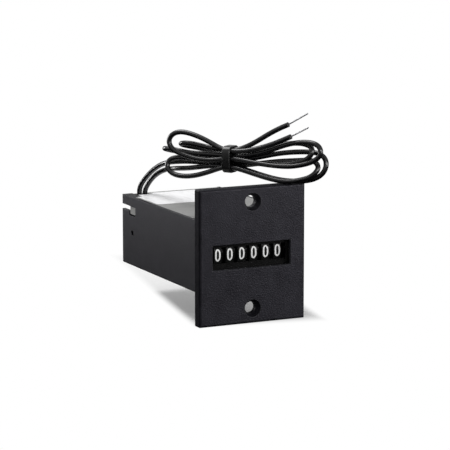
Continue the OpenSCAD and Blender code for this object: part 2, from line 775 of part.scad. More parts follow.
module number_wheel(k) {
    color(black) translate([wheel_x(k), wheel_y, axis_z]) along_x() difference() {
        union() {
            translate([0, 0, -rim_w / 2]) difference() {
                cylinder(r = wheel_r, h = rim_w, $fn = 96);
                translate([0, 0, -cut]) cylinder(r = wheel_r - rim_t, h = rim_w - web_t + cut, $fn = 96);
            }
            translate([0, 0, hub_front]) cylinder(r = hub_r, h = hub_back - hub_front);
            if (k < wheel_count) translate([0, 0, hub_front]) carry_ring();
            translate([0, 0, rim_w / 2]) linear_extrude(gear_w) {
                if (k > 1) polygon(tooth_ring(gear_side, gear_teeth, 1, 180 / gear_teeth));
                else ratchet_profile();
            }
        }
        translate([0, 0, hub_front - cut]) cylinder(r = wheel_bore_r, h = hub_back - hub_front + 2 * cut);
    }
}

// Every second tooth is narrow and runs in the wheel on the left only
module transfer_pinion(k) {
    long_w = pinion_w;
    short_w = gear_w;
    color([0.85, 0.83, 0.75]) translate([pinion_x(k), pinion_y, axis_z]) along_x() difference() {
        union() {
            linear_extrude(short_w) polygon(tooth_ring(pinion_side, pinion_teeth));
            linear_extrude(long_w) polygon(tooth_ring(pinion_side, pinion_teeth, 2, 360 / pinion_teeth));
            cylinder(r = pinion_hub_r, h = wheel_pitch - run);
        }
        translate([0, 0, -cut]) cylinder(r = pinion_bore_r, h = wheel_pitch + 2 * cut);
    }
}

module yoke() {
    ear = 2 * hinge_r + run;
    color(steel) difference() {
        union() {
            box_from([-yoke_w / 2, yoke_front, deck_z], [yoke_w / 2, yoke_rear + yoke_t, deck_z + yoke_t]);
            box_from([-yoke_w / 2, yoke_rear, deck_z], [yoke_w / 2, yoke_rear + yoke_t, yoke_top]);
            both_sides() {
                box_from([yoke_w / 2 - ear_t, pin_y - hinge_r, deck_z],
                         [yoke_w / 2, yoke_front + cut, pin_z]);
                translate([0, pin_y, pin_z]) shaft_along_x(hinge_r, yoke_w / 2 - ear_t, yoke_w / 2);
            }
        }
        translate([0, pin_y, pin_z])
            shaft_along_x(armature_pin_r + play, -yoke_w / 2 - cut, yoke_w / 2 + cut);
        translate([0, yoke_rear - cut, coil_z]) along_y()
            cylinder(r = spigot_r + snug, h = yoke_t + 2 * cut);
        for (y = screw_ys) translate([0, y, deck_z - cut])
            cylinder(r = screw_r + snug, h = yoke_t + 2 * cut);
    }
}

module core() {
    color(steel) translate([0, pole_y, coil_z]) along_y() {
        cylinder(r = pole_r, h = pole_t);
        cylinder(r = core_r, h = yoke_rear - pole_y);
        cylinder(r = spigot_r, h = yoke_rear + yoke_t + run - pole_y);
    }
}

module bobbin() {
    barrel_r = core_r + play + barrel_t;
    low = [block_x, bobbin_rear - block_t, coil_z - flange_r / 3];
    high = [barrel_r - flange_r, bobbin_rear, coil_z + flange_r * 2 / 3];
    color([0.9, 0.88, 0.82]) difference() {
        union() {
            translate([0, bobbin_y, coil_z]) along_y() {
                cylinder(r = barrel_r, h = bobbin_l);
                cylinder(r = flange_r, h = flange_t);
                translate([0, 0, bobbin_l - flange_t]) cylinder(r = flange_r, h = flange_t);
            }
            difference() {
                box_from(low, high);
                translate([0, low[1] - cut, coil_z]) along_y()
                    cylinder(r = flange_r - winding_inset / 2, h = block_t - flange_t + cut);
            }
        }
        translate([0, bobbin_y - cut, coil_z]) along_y() cylinder(r = core_r + play, h = bobbin_l + 2 * cut);
        coil_terminal_pins(terminal_r + snug);
    }
}

module coil_terminal_pins(r) {
    for (z = terminal_z)
        translate([0, terminal_y, z]) shaft_along_x(r, terminal_x, block_x + terminal_reach);
}

module coil_terminals() {
    color([0.8, 0.65, 0.3]) coil_terminal_pins(terminal_r);
}

module winding() {
    color([0.62, 0.3, 0.15]) translate([0, bobbin_y + flange_t + fit, coil_z]) along_y() difference() {
        cylinder(r = flange_r - winding_inset, h = bobbin_l - 2 * flange_t - 2 * fit);
        translate([0, 0, -cut]) cylinder(r = core_r + barrel_t + 2 * play, h = bobbin_l + 2 * cut);
    }
}

module armature() {
    half = armature_w / 2;
    color(steel) difference() {
        union() {
            translate([0, pin_y, pin_z]) shaft_along_x(hinge_r, -half, half);
            box_from([-half, armature_front, pin_z], [half, armature_front + armature_t, pallet_top]);
            box_from([-half, armature_front, pallet_z],
                     [pallet_x + pallet_t, armature_front + armature_t, pallet_top]);
        }
        translate([0, pin_y, pin_z]) shaft_along_x(armature_pin_r + play, -half - cut, half + cut);
    }
}

// Arm over the units wheel's ratchet, with a pallet before and behind the shaft's plane
module pallet_arm() {
    claw_z = axis_z + sqrt(pow(ratchet_r + 2 * run, 2) - pow(pallet_reach - pallet_w, 2));
    color([0.85, 0.83, 0.75]) {
        box_from([pallet_x, wheel_y - pallet_reach, pallet_z],
                 [pallet_x + pallet_t, armature_front, pallet_top]);
        for (y = [wheel_y - pallet_reach, wheel_y + pallet_reach - pallet_w])
            box_from([pallet_x, y, claw_z], [pallet_x + pallet_t, y + pallet_w, pallet_z]);
    }
}

module armature_pin() {
    color(steel) translate([0, pin_y, pin_z])
        shaft_along_x(armature_pin_r, -yoke_w / 2 - run, yoke_w / 2 + run);
}

// Ring of points round a place on a route, square to the way that the route runs there
function unit(v) = v / norm(v);
function heading(route, i) = unit(route[min(i + 1, len(route) - 1)] - route[max(i - 1, 0)]);
function square_to(t, v) = unit(v - (v * t) * t);
function sides_along(route, i = 0, v = [1, 0.3, 0.2]) = i == len(route) ? [] :
    let(s = square_to(heading(route, i), v)) concat([s], sides_along(route, i + 1, s));

// Round tube swept along a route
module tube(route, r, sides = lead_sides) {
    across = sides_along(route);
    rings = len(route);
    points = [for (i = [0:rings - 1]) let(up = cross(heading(route, i), across[i]))
        for (j = [0:sides - 1]) let(a = 360 * j / sides)
            route[i] + r * (cos(a) * across[i] + sin(a) * up)];
    walls = [for (i = [0:rings - 2], j = [0:sides - 1]) let(k = (j + 1) % sides)
        [i * sides + j, (i + 1) * sides + j, (i + 1) * sides + k, i * sides + k]];
    ends = [[for (j = [0:sides - 1]) j],
            [for (j = [sides - 1:-1:0]) (rings - 1) * sides + j]];
    polyhedron(points, concat(walls, ends), convexity = 6);
}

module return_spring() {
    turns = 3;
    steps = 10;
    length = bobbin_y - pole_y + air_gap - 2 * fit - spring_wire_d;
    seat_z = coil_z + pole_r + spring_r + spring_wire_d + 2 * run;
    route = [for (i = [0:turns * steps]) let(a = 360 * i / steps)
        [spring_r * cos(a), pole_y - air_gap + fit + spring_wire_d / 2 + length * i / turns / steps,
         seat_z + spring_r * sin(a)]];
    color(steel) tube(route, spring_wire_d / 2, 6);
}

module lead(route) {
    color([0.08, 0.08, 0.09]) tube(route, lead_r);
}

// The tied bundle as one solid, widest at its two round ends
module wire_hank() {
    run_along = hank_front - hank_rear;
    length = norm([run_along[0], run_along[1]]);
    rise = run_along[2];
    waist = norm([tie_at[0] - hank_rear[0], tie_at[1] - hank_rear[1]]);
    waist_z = tie_at[2] - hank_rear[2];
    shoulder = 75;
    // Where the hank lies on the plate's upper edge
    seat = (-plate_t / 2 - hank_rear[1]) * length / run_along[1];
    seat_z = plate_h / 2 + play - hank_rear[2];
    color([0.08, 0.08, 0.09]) translate(hank_rear) rotate(atan2(run_along[1], run_along[0]))
        rotate([90, 0, 0]) translate([0, 0, -hank_t / 2]) {
            cylinder(r = hank_rear_r, h = hank_t);
            translate([length, rise, 0]) cylinder(r = hank_front_r, h = hank_t);
            linear_extrude(hank_t)
                polygon([polar(hank_rear_r, shoulder), [waist - tie_w, waist_z + hank_waist / 2],
                         [waist + tie_w, waist_z + hank_waist / 2],
                         [length, rise] + polar(hank_front_r, 180 - shoulder),
                         [length, rise] + polar(hank_front_r, shoulder - 180),
                         [seat + plate_t, seat_z], [seat - plate_t, seat_z],
                         [waist + tie_w, waist_z - hank_waist / 2],
                         [waist - tie_w, waist_z - hank_waist / 2], polar(hank_rear_r, -shoulder)]);
        }
}

module cable_tie() {
    run_along = hank_front - hank_rear;
    inner = [hank_t + 2 * fit, hank_waist + 2 * fit];
    color([0.07, 0.07, 0.08]) translate(tie_at) rotate(atan2(run_along[1], run_along[0]))
        along_x() translate([0, 0, -tie_w / 2]) {
            linear_extrude(tie_w) difference() {
                rounded_rectangle(inner[0] + 2 * tie_t, inner[1] + 2 * tie_t, 2 * tie_t);
                square(inner, center = true);
            }
            translate([inner[0] / 2 + tie_t / 2, -tie_w / 2, -tie_t / 2])
                cube([2 * tie_t, tie_w, tie_w + tie_t]);
        }
}

front_plate();
window_lens();
digit_mask();
housing();
top_cover();
label();
strain_relief();
chassis();
body_screws();
wheel_shaft();
wheel_spacer_left();
wheel_spacer_right();
number_wheel(1);  // number_wheel_1
number_wheel(2);  // number_wheel_2
number_wheel(3);  // number_wheel_3
number_wheel(4);  // number_wheel_4
number_wheel(5);  // number_wheel_5
number_wheel(6);  // number_wheel_6
pinion_shaft();
pinion_spacer_left();
pinion_spacer_right();
transfer_pinion(1);  // transfer_pinion_1
transfer_pinion(2);  // transfer_pinion_2
transfer_pinion(3);  // transfer_pinion_3
transfer_pinion(4);  // transfer_pinion_4
transfer_pinion(5);  // transfer_pinion_5
shaft_clips();
armature();
pallet_arm();
armature_pin();
return_spring();
yoke();
core();
bobbin();
winding();
coil_terminals();
lead(inner_route_1);  // inner_lead_1
lead(inner_route_2);  // inner_lead_2
lead(rise_route_1);  // lead_rise_1
lead(rise_route_2);  // lead_rise_2
wire_hank();
cable_tie();
lead(end_route_1);  // lead_end_1
lead(end_route_2);  // lead_end_2
color("silver") tube(bare_route_1, conductor_d / 2);  // conductor_1
color("silver") tube(bare_route_2, conductor_d / 2);  // conductor_2
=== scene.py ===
import json
import math

import bpy
from mathutils import Matrix, Vector


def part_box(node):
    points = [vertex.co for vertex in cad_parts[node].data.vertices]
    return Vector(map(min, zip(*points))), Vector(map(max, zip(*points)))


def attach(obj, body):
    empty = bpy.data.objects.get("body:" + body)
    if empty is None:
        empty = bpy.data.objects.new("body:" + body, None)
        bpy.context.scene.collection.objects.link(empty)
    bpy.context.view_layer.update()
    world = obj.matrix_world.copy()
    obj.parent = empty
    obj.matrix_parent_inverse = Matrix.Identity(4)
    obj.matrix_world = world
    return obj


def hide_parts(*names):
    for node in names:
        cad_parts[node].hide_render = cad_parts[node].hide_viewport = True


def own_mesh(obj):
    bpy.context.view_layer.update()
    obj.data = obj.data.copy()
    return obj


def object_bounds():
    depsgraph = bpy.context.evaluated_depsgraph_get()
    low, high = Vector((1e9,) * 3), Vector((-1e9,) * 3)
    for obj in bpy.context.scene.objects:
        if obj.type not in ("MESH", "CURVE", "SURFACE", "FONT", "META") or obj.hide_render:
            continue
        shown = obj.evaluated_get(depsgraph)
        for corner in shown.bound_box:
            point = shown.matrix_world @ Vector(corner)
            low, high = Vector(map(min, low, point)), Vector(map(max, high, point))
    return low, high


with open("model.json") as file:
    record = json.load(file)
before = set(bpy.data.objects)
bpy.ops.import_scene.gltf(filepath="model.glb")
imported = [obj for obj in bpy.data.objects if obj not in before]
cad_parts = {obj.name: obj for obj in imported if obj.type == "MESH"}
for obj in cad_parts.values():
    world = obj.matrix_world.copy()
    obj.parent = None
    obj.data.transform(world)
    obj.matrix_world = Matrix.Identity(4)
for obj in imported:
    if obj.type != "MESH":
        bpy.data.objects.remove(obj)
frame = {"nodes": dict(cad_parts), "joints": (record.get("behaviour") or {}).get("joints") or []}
cad_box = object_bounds()
nodes = frame["nodes"]

MM = 0.001
WHEELS = 6


# Small helpers

def link(obj):
    """Puts an object into the scene."""
    bpy.context.collection.objects.link(obj)
    return obj


def in_metres(points):
    """Points given in millimetres, as in the part's source."""
    return [Vector(p) * MM for p in points]


def mesh_piece(name, verts, faces, smooth=False):
    """An object with this mesh."""
    mesh = bpy.data.meshes.new(name)
    mesh.from_pydata([tuple(v) for v in verts], [], faces)
    mesh.validate()
    mesh.update()
    for polygon in mesh.polygons:
        polygon.use_smooth = smooth
    return link(bpy.data.objects.new(name, mesh))


def paint(material, *names):
    """Gives CAD nodes this material."""
    for name in names:
        for piece_slot in nodes[name].material_slots:
            piece_slot.material = material


def paint_piece(obj, material, body="root"):
    """Gives a new piece its material and the body that it rides."""
    obj.data.materials.append(material)
    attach(obj, body)


# Camera

CAMERA_AT = (-0.36541, -0.73690, 0.15446)
CAMERA_RIGHT = (0.9003, -0.4352, 0.0)
CAMERA_UP = (0.07505, 0.15526, 0.98499)
CAMERA_BACK = (-0.42869, -0.88684, 0.17245)
# Both in millimetres
SENSOR_W = 36.0
FOCAL_LENGTH = 185.0


def make_camera():
    """The photo's camera: a long lens, a little to the left of the counter and above it."""
    data = bpy.data.cameras.new("camera")
    data.sensor_width = SENSOR_W
    data.lens = FOCAL_LENGTH
    data.clip_start = 0.05
    camera = link(bpy.data.objects.new("camera", data))
    turn = Matrix((CAMERA_RIGHT, CAMERA_UP, CAMERA_BACK)).transposed()
    camera.matrix_world = Matrix.Translation(CAMERA_AT) @ turn.to_4x4()
    bpy.context.scene.camera = camera


# Material nodes

# Most values of a noise lie between these two
NOISE_LOW, NOISE_HIGH = 0.3, 0.7
# How far the paler edges, partly rubbing and partly a painted highlight, reach from an edge, the size of their
# patches, and how alike the rounded and the flat normal are where they start and where they are full
WEAR_AND_HIGHLIGHT_R = 0.0004
WEAR_AND_HIGHLIGHT_PATCH = 0.0015
WEAR_AND_HIGHLIGHT_STARTS, WEAR_AND_HIGHLIGHT_FULL = 0.995, 0.85
# A face starts to look along an axis at the first of these shares of its normal, and does so fully at the second;
# this picks the faces that get painted shade through a lower specular level
FACING_STARTS, FACING_FULL = 0.6, 0.95


class Shader:
    """One material's node tree, built a node at a time."""

    def __init__(self, name):
        self.material = bpy.data.materials.new(name)
        self.material.use_nodes = True
        self.tree = self.material.node_tree
        self.tree.nodes.clear()
        self.output = self.add("ShaderNodeOutputMaterial")
        self.surface = self.add("ShaderNodeBsdfPrincipled")
        self.join(self.surface.outputs["BSDF"], self.output.inputs["Surface"])
        self.place = self.add("ShaderNodeTexCoord").outputs["Object"]

    def add(self, kind, **settings):
        """A new node with these settings."""
        node = self.tree.nodes.new(kind)
        for key, value in settings.items():
            setattr(node, key, value)
        return node

    def join(self, source, target):
        self.tree.links.new(source, target)

    def set(self, **values):
        """Constants on the surface's own sockets, named with _ for each space."""
        for key, value in values.items():
            self.surface.inputs[key.replace("_", " ")].default_value = value

    def stretched(self, scale):
        """Object coordinates, in metres, times scale along each axis."""
        mapping = self.add("ShaderNodeMapping")
        self.join(self.place, mapping.inputs["Vector"])
        mapping.inputs["Scale"].default_value = scale
        return mapping.outputs["Vector"]

    def noise(self, size, detail=3.0, roughness=0.55, stretch=(1, 1, 1)):
        """Noise whose grains are about size metres across."""
        texture = self.add("ShaderNodeTexNoise")
        self.join(self.stretched(stretch), texture.inputs["Vector"])
        texture.inputs["Scale"].default_value = 1 / size
        texture.inputs["Detail"].default_value = detail
        texture.inputs["Roughness"].default_value = roughness
        return texture.outputs["Fac"]

    def ramp(self, source, stops):
        """Colours between stops, a list of (place, grey or colour)."""
        ramp = self.add("ShaderNodeValToRGB")
        self.join(source, ramp.inputs["Fac"])
        elements = ramp.color_ramp.elements
        while len(elements) < len(stops):
            elements.new(0.5)
        for element, (place, colour) in zip(elements, stops):
            element.position = place
            element.color = (colour,) * 3 + (1,) if isinstance(colour, float) else tuple(colour) + (1,)
        return ramp.outputs["Color"]

    def between(self, source, low, high):
        """The usual range of a noise turned into a value from low to high."""
        remap = self.add("ShaderNodeMapRange")
        self.join(source, remap.inputs["Value"])
        remap.inputs["From Min"].default_value = NOISE_LOW
        remap.inputs["From Max"].default_value = NOISE_HIGH
        remap.inputs["To Min"].default_value = low
        remap.inputs["To Max"].default_value = high
        return remap.outputs["Result"]

    def bump(self, source, depth, over=None):
        """Relief of this depth in metres, laid over other normals where they are given."""
        bump = self.add("ShaderNodeBump")
        self.join(source, bump.inputs["Height"])
        bump.inputs["Strength"].default_value = 1.0
        bump.inputs["Distance"].default_value = depth
        if over is not None:
            self.join(over, bump.inputs["Normal"])
        self.join(bump.outputs["Normal"], self.surface.inputs["Normal"])

    def edge_wear_and_highlight(self):
        """1 on an edge and 0 away from it, broken up by noise: the mask of paler edges, partly wear and partly a
        painted highlight.
        """
        bevel = self.add("ShaderNodeBevel", samples=6)
        bevel.inputs["Radius"].default_value = WEAR_AND_HIGHLIGHT_R
        alike = self.add("ShaderNodeVectorMath", operation="DOT_PRODUCT")
        self.join(bevel.outputs["Normal"], alike.inputs[0])
        self.join(self.add("ShaderNodeNewGeometry").outputs["Normal"], alike.inputs[1])
        turned = self.add("ShaderNodeMapRange")
        self.join(alike.outputs["Value"], turned.inputs["Value"])
        turned.inputs["From Min"].default_value = WEAR_AND_HIGHLIGHT_STARTS
        turned.inputs["From Max"].default_value = WEAR_AND_HIGHLIGHT_FULL
        patchy = self.add("ShaderNodeMath", operation="MULTIPLY")
        self.join(turned.outputs["Result"], patchy.inputs[0])
        self.join(self.between(self.noise(WEAR_AND_HIGHLIGHT_PATCH), 0.55, 1.0), patchy.inputs[1])
        return patchy.outputs[0]

    def by_axis(self, axis, on_it, elsewhere):
        """One value on the faces that look along an axis and another on the rest."""
        axes = self.add("ShaderNodeSeparateXYZ")
        self.join(self.add("ShaderNodeNewGeometry").outputs["Normal"], axes.inputs[0])
        along = self.add("ShaderNodeMath", operation="ABSOLUTE")
        self.join(axes.outputs[axis], along.inputs[0])
        value = self.add("ShaderNodeMapRange")
        self.join(along.outputs[0], value.inputs["Value"])
        value.inputs["From Min"].default_value = FACING_STARTS
        value.inputs["From Max"].default_value = FACING_FULL
        value.inputs["To Min"].default_value = elsewhere
        value.inputs["To Max"].default_value = on_it
        return value.outputs["Result"]

    def soft_edges(self, radius):
        """Normals that round every edge by radius metres."""
        bevel = self.add("ShaderNodeBevel", samples=4)
        bevel.inputs["Radius"].default_value = radius
        return bevel.outputs["Normal"]


# Materials

NO_TINT = (1, 1, 1, 1)
# The black mouldings have a slightly violet sheen
COOL = (0.99, 0.95, 1.1, 1)
# Size of the faint clouds in moulded plastic
CLOUD = 0.006


def moulded(name, dark, light, roughness, grain, depth, edge=0.00015, specular=0.5, tint=NO_TINT, wear_and_highlight=None,
            shaded_faces=None):
    """Moulded plastic: spark-eroded grain, slight cloudiness and soft edges.

    wear_and_highlight is the paler grey of the edges, partly rubbing and partly a painted highlight. shaded_faces is
    an axis and the lower specular level of the faces along it, which paints shade on those faces.
    """
    s = Shader(name)
    cloud = s.ramp(s.noise(CLOUD), [(NOISE_LOW, dark), (NOISE_HIGH, light)])
    if wear_and_highlight is None:
        s.join(cloud, s.surface.inputs["Base Color"])
    else:
        # Paler edges, partly wear and partly a painted highlight
        rubbed_and_highlit = s.add("ShaderNodeMix", data_type="RGBA")
        s.join(s.edge_wear_and_highlight(), rubbed_and_highlit.inputs["Factor"])
        s.join(cloud, rubbed_and_highlit.inputs["A"])
        rubbed_and_highlit.inputs["B"].default_value = (wear_and_highlight, wear_and_highlight, wear_and_highlight * 1.05, 1)
        s.join(rubbed_and_highlit.outputs["Result"], s.surface.inputs["Base Color"])
    fine = s.noise(grain, detail=2.0)
    s.join(s.between(fine, roughness - 0.06, roughness + 0.08), s.surface.inputs["Roughness"])
    s.bump(fine, depth, over=s.soft_edges(edge))
    # A lower specular level on the faces along one axis paints shade on those sides
    if shaded_faces is not None:
        axis, shaded_specular = shaded_faces
        s.join(s.by_axis(axis, shaded_specular, specular), s.surface.inputs["Specular IOR Level"])
    s.set(Specular_IOR_Level=specular, Specular_Tint=tint)
    return s.material


def sheet_metal(name, colour, roughness, brush=(1, 1, 12)):
    """Plated or ground metal with faint lines along one direction."""
    s = Shader(name)
    lines = s.noise(0.0006, detail=4.0, stretch=brush)
    dark = tuple(c * 0.86 for c in colour)
    s.join(s.ramp(lines, [(NOISE_LOW, dark), (NOISE_HIGH, colour)]), s.surface.inputs["Base Color"])
    s.join(s.between(lines, roughness - 0.07, roughness + 0.1), s.surface.inputs["Roughness"])
    s.bump(lines, 0.000004, over=s.soft_edges(0.0001))
    s.set(Metallic=1.0)
    return s.material


def clear_acrylic():
    """The lens: it lets light straight through and keeps a faint sheen."""
    s = Shader("clear_acrylic")
    glass = s.add("ShaderNodeBsdfTransparent")
    glass.inputs["Color"].default_value = (0.98, 0.98, 0.98, 1)
    sheen = s.add("ShaderNodeBsdfGlossy")
    haze = s.noise(0.004)
    s.join(s.between(haze, 0.05, 0.12), sheen.inputs["Roughness"])
    fresnel = s.add("ShaderNodeFresnel")
    fresnel.inputs["IOR"].default_value = 1.15
    mix = s.add("ShaderNodeMixShader")
    s.join(fresnel.outputs["Fac"], mix.inputs["Fac"])
    s.join(glass.outputs["BSDF"], mix.inputs[1])
    s.join(sheen.outputs["BSDF"], mix.inputs[2])
    s.join(mix.outputs["Shader"], s.output.inputs["Surface"])
    s.tree.nodes.remove(s.surface)
    return s.material


def lead_skin():
    """Glossy black PVC with a faint drawn texture."""
    s = Shader("lead_skin")
    mottle = s.noise(0.0015)
    s.join(s.ramp(mottle, [(NOISE_LOW, (0.003, 0.003, 0.0035)), (NOISE_HIGH, (0.006, 0.006, 0.007))]),
           s.surface.inputs["Base Color"])
    s.join(s.between(mottle, 0.22, 0.3), s.surface.inputs["Roughness"])
    s.bump(mottle, 0.000003)
    s.set(Specular_IOR_Level=0.65)
    return s.material


def label_film():
    """White film with soft grey streaks in place of its print."""
    s = Shader("label_film")
    streaks = s.noise(0.0022, detail=5.0, roughness=0.7, stretch=(1, 0.4, 1))
    s.join(s.ramp(streaks, [(0.3, (0.62, 0.62, 0.63)), (0.42, (0.8, 0.8, 0.81)), (0.62, (0.85, 0.85, 0.86))]),
           s.surface.inputs["Base Color"])
    s.join(s.between(streaks, 0.3, 0.42), s.surface.inputs["Roughness"])
    s.bump(s.noise(0.001), 0.000006)
    return s.material


def figure_ink():
    """White printing ink, faintly speckled."""
    s = Shader("figure_ink")
    speckle = s.noise(0.0003)
    s.join(s.ramp(speckle, [(NOISE_LOW, (0.88, 0.88, 0.87)), (NOISE_HIGH, (0.96, 0.96, 0.95))]),
           s.surface.inputs["Base Color"])
    s.join(s.between(speckle, 0.45, 0.6), s.surface.inputs["Roughness"])
    return s.material


def wound_copper():
    """Enamelled wire, layer on layer, under clear tape."""
    s = Shader("wound_copper")
    turns = s.add("ShaderNodeTexWave", wave_type="BANDS", bands_direction="Y")
    s.join(s.place, turns.inputs["Vector"])
    turns.inputs["Scale"].default_value = 1200.0
    turns.inputs["Distortion"].default_value = 0.6
    s.join(s.ramp(turns.outputs["Fac"], [(0.2, (0.16, 0.05, 0.02)), (0.8, (0.5, 0.2, 0.08))]),
           s.surface.inputs["Base Color"])
    s.bump(turns.outputs["Fac"], 0.00003)
    s.set(Metallic=0.7, Roughness=0.35)
    return s.material


# Leads

# In millimetres, as in the part's source
HANK_START = Vector((-15.0, 40.0, 0.0))
ALONG_HANK = Vector((0.5748, -0.8183, 0.0))
TOWARDS_VIEWER = Vector((-0.8183, -0.5748, 0.0))
LEAD_D = 1.9
# Distance in which a strand of a stripped end goes round once, and the strand's thickness
STRAND_LAY = 3.2
STRAND_D = 0.19

RISE_1 = [(-14.8, 63.5, 13.4), (-14.9, 63.5, 15), (-14.8, 62.9, 17), (-14.1, 60.2, 19.8),
          (-13.6, 56, 23), (-13.2, 51, 25.6), (-13, 45.5, 27.7), (-12.8, 40.5, 28.9)]
RISE_2 = [(-12.6, 63.5, 13.4), (-12.6, 63.4, 15), (-12.1, 62.6, 17), (-11.3, 59.5, 20.1),
          (-10.9, 55, 22.7), (-10.7, 49.5, 24.6), (-10.6, 44, 25.8), (-10.7, 38.5, 26.7)]
END_1 = [(4.8, 13.6, 36.5), (7.9, 9.1, 39), (12, 3.3, 43.8), (15.4, -1.6, 46.3)]
END_2 = [(4.3, 10.8, 35.6), (9.5, 3.4, 38.1), (12.3, -0.7, 40.2), (15, -4.4, 42.3)]
BARE_END_1 = (20, -8, 50.8)
BARE_END_2 = (19.1, -10.2, 46)
# Points of the hank: how far along it, how high, and how far towards the viewer
HANK_1 = [
    (7, 29.7, -2.2), (14, 29.9, -2.0), (21, 29.7, -1.95), (26, 29.55, -1.93), (30, 29.55, -1.93),
    (38, 30.9, -2.1), (44, 32.0, -2.4), (50, 32.8, -2.4), (56, 33.4, -2.1), (61.5, 34.2, -1.6),
    (65.2, 31.8, 0.1), (62.6, 28.4, 1.8), (59, 27.2, 1.95), (55, 26.2, 1.98), (51, 25.9, 1.98),
    (46, 26.4, 1.95), (40, 27.6, 1.93), (34, 29.0, 1.93), (30, 29.6, 1.93), (26, 29.4, 1.93), (22, 27.8, 1.93),
    (14.6, 25.2, 1.95), (8.4, 24.5, 1.9), (3.6, 25.4, 1.8), (1.5, 28.6, 1.4), (3.6, 31.4, 0.6), (9, 31.2, -0.1),
    (18, 31.5, 0), (26, 31.5, 0), (30, 31.5, 0), (40, 31.3, 0), (50, 31.6, 0), (55, 32.7, 0.2), (61, 34.4, 0.7),
    (62.4, 38.6, -0.4), (58.0, 39.8, -1.4), (53, 39.6, -2.2), (48, 38.6, -2.3), (43, 37.0, -2.3),
    (38.7, 35.6, -2.2), (34, 34.3, -2.0), (30, 33.5, -1.93), (26, 33.45, -1.93), (18, 34.0, -2.9),
    (12.4, 34.6, -5.4), (6.6, 35.0, -4.8), (5.8, 36.6, -0.2), (12, 37.4, 1.6), (17, 36.2, 0.3), (22, 35.6, 0),
    (26, 35.4, 0), (30, 35.5, -0.3)]
HANK_2 = [
    (9, 27.2, -1.7), (14, 28.1, -0.8), (20, 29.2, -0.1), (26, 29.55, 0), (30, 29.5, 0), (34, 28.9, 0),
    (40, 27.5, 0), (46, 26.3, 0), (51.3, 25.85, 0), (57, 26.1, -0.1), (62.5, 27.0, -0.3), (66.6, 29.9, -0.8),
    (67.1, 34.4, -1.5), (63.6, 36.7, -2.3), (58, 36.7, -2.9), (50, 35.9, -2.8), (44, 34.7, -2.4),
    (38, 33.1, -2.1), (30, 31.6, -1.93), (26, 31.5, -1.93), (18, 31.8, -2.2), (10, 32.2, -3.2), (4.8, 32.5, -5.4),
    (-0.8, 33.0, -4.9), (-1.2, 34.4, -0.2), (4.8, 34.3, 0.9), (10, 33.3, -0.1), (18, 33.4, 0), (26, 33.45, 0),
    (30, 33.4, 0), (35, 34.0, -0.4), (39, 34.8, -0.4), (44, 36.3, -0.4), (49.4, 38.5, -0.2), (54, 39.9, 0.2),
    (60, 40.9, 0.8),
    (65.4, 40.2, 1.4), (66.6, 36.6, 1.8), (63.2, 33.8, 2.1), (58, 32.3, 2.0), (52, 31.2, 1.95), (41.4, 31.6, 1.95),
    (34, 32.5, 1.93), (30, 32.8, 1.93), (26, 32.4, 1.93), (21, 31.4, 1.93), (14.6, 31.6, 2.0), (9.6, 32.8, 2.3),
    (4.6, 34.4, 2.7), (2.8, 38.6, 2.6), (7.5, 42.2, 2.2), (16.8, 39.8, 1.8), (22, 37.5, 1.8), (26, 35.8, 1.93),
    (30, 35.4, 1.9)]


def hank_point(along, height, near):
    """A point of the hank in the part's own frame."""
    return HANK_START + along * ALONG_HANK + near * TOWARDS_VIEWER + Vector((0, 0, height))


def lead_route(rise, hank, end):
    """One lead's whole way, in metres."""
    return in_metres(rise) + in_metres([hank_point(*p) for p in hank]) + in_metres(end)


def swept(name, splines, diameter, sides=6):
    """Round wires along smooth open lines."""
    curve = bpy.data.curves.new(name, "CURVE")
    curve.dimensions = "3D"
    curve.bevel_depth = diameter / 2
    curve.bevel_resolution = sides - 2
    curve.resolution_u = 6
    curve.use_fill_caps = True
    for points in splines:
        spline = curve.splines.new("NURBS")
        spline.points.add(len(points) - 1)
        for target, point in zip(spline.points, points):
            target.co = (*point, 1.0)
        spline.order_u = 4
        spline.use_endpoint_u = True
    return link(bpy.data.objects.new(name, curve))


def route_length(obj):
    """Length of a lead along its own line."""
    evaluated = obj.copy()
    evaluated.data = obj.data.copy()
    evaluated.data.bevel_depth = 0
    mesh = evaluated.to_mesh()
    points = [v.co.copy() for v in mesh.vertices]
    length = sum((b - a).length for a, b in zip(points, points[1:]))
    evaluated.to_mesh_clear()
    bpy.data.objects.remove(evaluated)
    return length


def stranded(name, start, end):
    """Seven fine wires laid round each other: the stripped end of a lead."""
    start, end = in_metres([start, end])
    axis = (end - start).normalized()
    side = axis.orthogonal().normalized()
    strand, steps = STRAND_D * MM, 40
    lines = [[start - axis * 0.001, start.lerp(end, 0.3), start.lerp(end, 0.7), end]]
    for k in range(6):
        line = []
        for i in range(steps + 1):
            along = (end - start).length * i / steps
            turn = Matrix.Rotation(math.tau * (k / 6 + along / (STRAND_LAY * MM)), 3, axis)
            line.append(start + axis * along + turn @ side * strand)
        lines.append(line)
    wire = swept(name, lines, strand, sides=2)
    wire.data.resolution_u = 2
    return wire


def cut_face(name, before, at):
    """The blade's face at the end of a lead's insulation."""
    before, at = in_metres([before, at])
    radius = LEAD_D / 2 * MM
    axis = (at - before).normalized()
    side = axis.orthogonal().normalized()
    sides = 24
    rings = [(radius, -0.02 * MM), (radius * 0.97, 0.03 * MM), (radius * 0.86, 0.05 * MM), (radius * 0.28, 0.04 * MM)]
    verts = [at + axis * along + Matrix.Rotation(math.tau * i / sides, 3, axis) @ side * r
             for r, along in rings for i in range(sides)]
    faces = [(r * sides + i, r * sides + (i + 1) % sides, (r + 1) * sides + (i + 1) % sides, (r + 1) * sides + i)
             for r in range(len(rings) - 1) for i in range(sides)]
    faces.append([(len(rings) - 1) * sides + i for i in range(sides)])
    return mesh_piece(name, verts, faces)


# The tie, in millimetres
TIE_AT = Vector((1.2, 17.0, 32.3))
